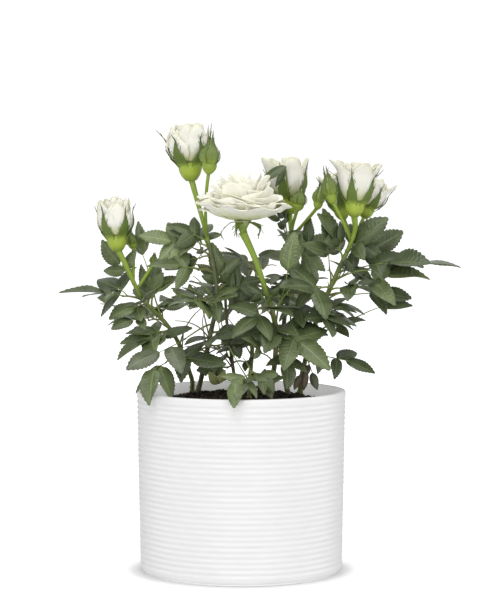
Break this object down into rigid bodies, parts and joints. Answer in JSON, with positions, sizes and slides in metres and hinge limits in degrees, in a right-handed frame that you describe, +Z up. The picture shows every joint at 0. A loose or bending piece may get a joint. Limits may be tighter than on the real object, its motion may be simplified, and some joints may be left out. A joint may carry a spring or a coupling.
{
  "type": "potted miniature rose bush",
  "caption": "Miniature white rose bush in a round white ribbed pot, with leafy canes, an open bloom, half-open blooms and buds.",
  "frame": {"origin": "centre of the pot's flat underside", "axes": "+Z up through the pot's axis, -Y towards the side with the wide open bloom, +X to its right seen from there"},
  "size_m": [0.2474, 0.1718, 0.2794],
  "materials": {
    "pot": "white satin glaze over shallow turned ribs",
    "soil": "moist dark peat, crumbly",
    "cane": "thin green-brown bark with small prickles",
    "stem": "smooth young yellow-green stem, hips and sepals",
    "petal": "soft creamy white petal",
    "leaf": "dark green leaf with a slight waxy sheen"
  },
  "bodies": {
    "root": {"centre_bloom": "petal", "centre_cane": "cane", "centre_face": "leaf", "centre_high": "leaf", "centre_low": "leaf", "centre_mid": "leaf", "centre_stem": "stem", "east_back": "leaf", "east_back_bloom": "petal", "east_big": "leaf", "east_bloom": "petal", "east_cane": "cane", "east_down": "leaf", "east_foot": "leaf", "east_side_bloom": "petal", "east_stem": "stem", "far_left": "leaf", "far_right": "leaf", "heart": "leaf", "left_back": "leaf", "left_bloom": "petal", "left_cane": "cane", "left_high": "leaf", "left_node": "leaf", "left_rim": "leaf", "left_stem": "stem", "low_left": "leaf", "main_bloom": "petal", "main_cane": "cane", "main_side": "leaf", "main_stem": "stem", "north_cane": "cane", "north_high": "leaf", "north_low": "leaf", "north_mid": "leaf", "pot": "pot", "right_back": "leaf", "right_face": "leaf", "right_low": "leaf", "right_spear": "leaf", "right_top": "leaf", "soil": "soil", "south_cane": "cane", "south_left": "leaf", "south_right": "leaf", "thin_back": "leaf", "thin_cane": "cane", "thin_front": "leaf", "thin_side": "leaf", "under_bloom": "leaf", "west_back": "leaf", "west_bloom": "petal", "west_cane": "cane", "west_crown": "leaf", "west_fan": "leaf", "west_front": "leaf", "west_inner": "leaf", "west_low": "leaf", "west_stem": "stem", "west_top": "leaf"}
  },
  "joints": []
}
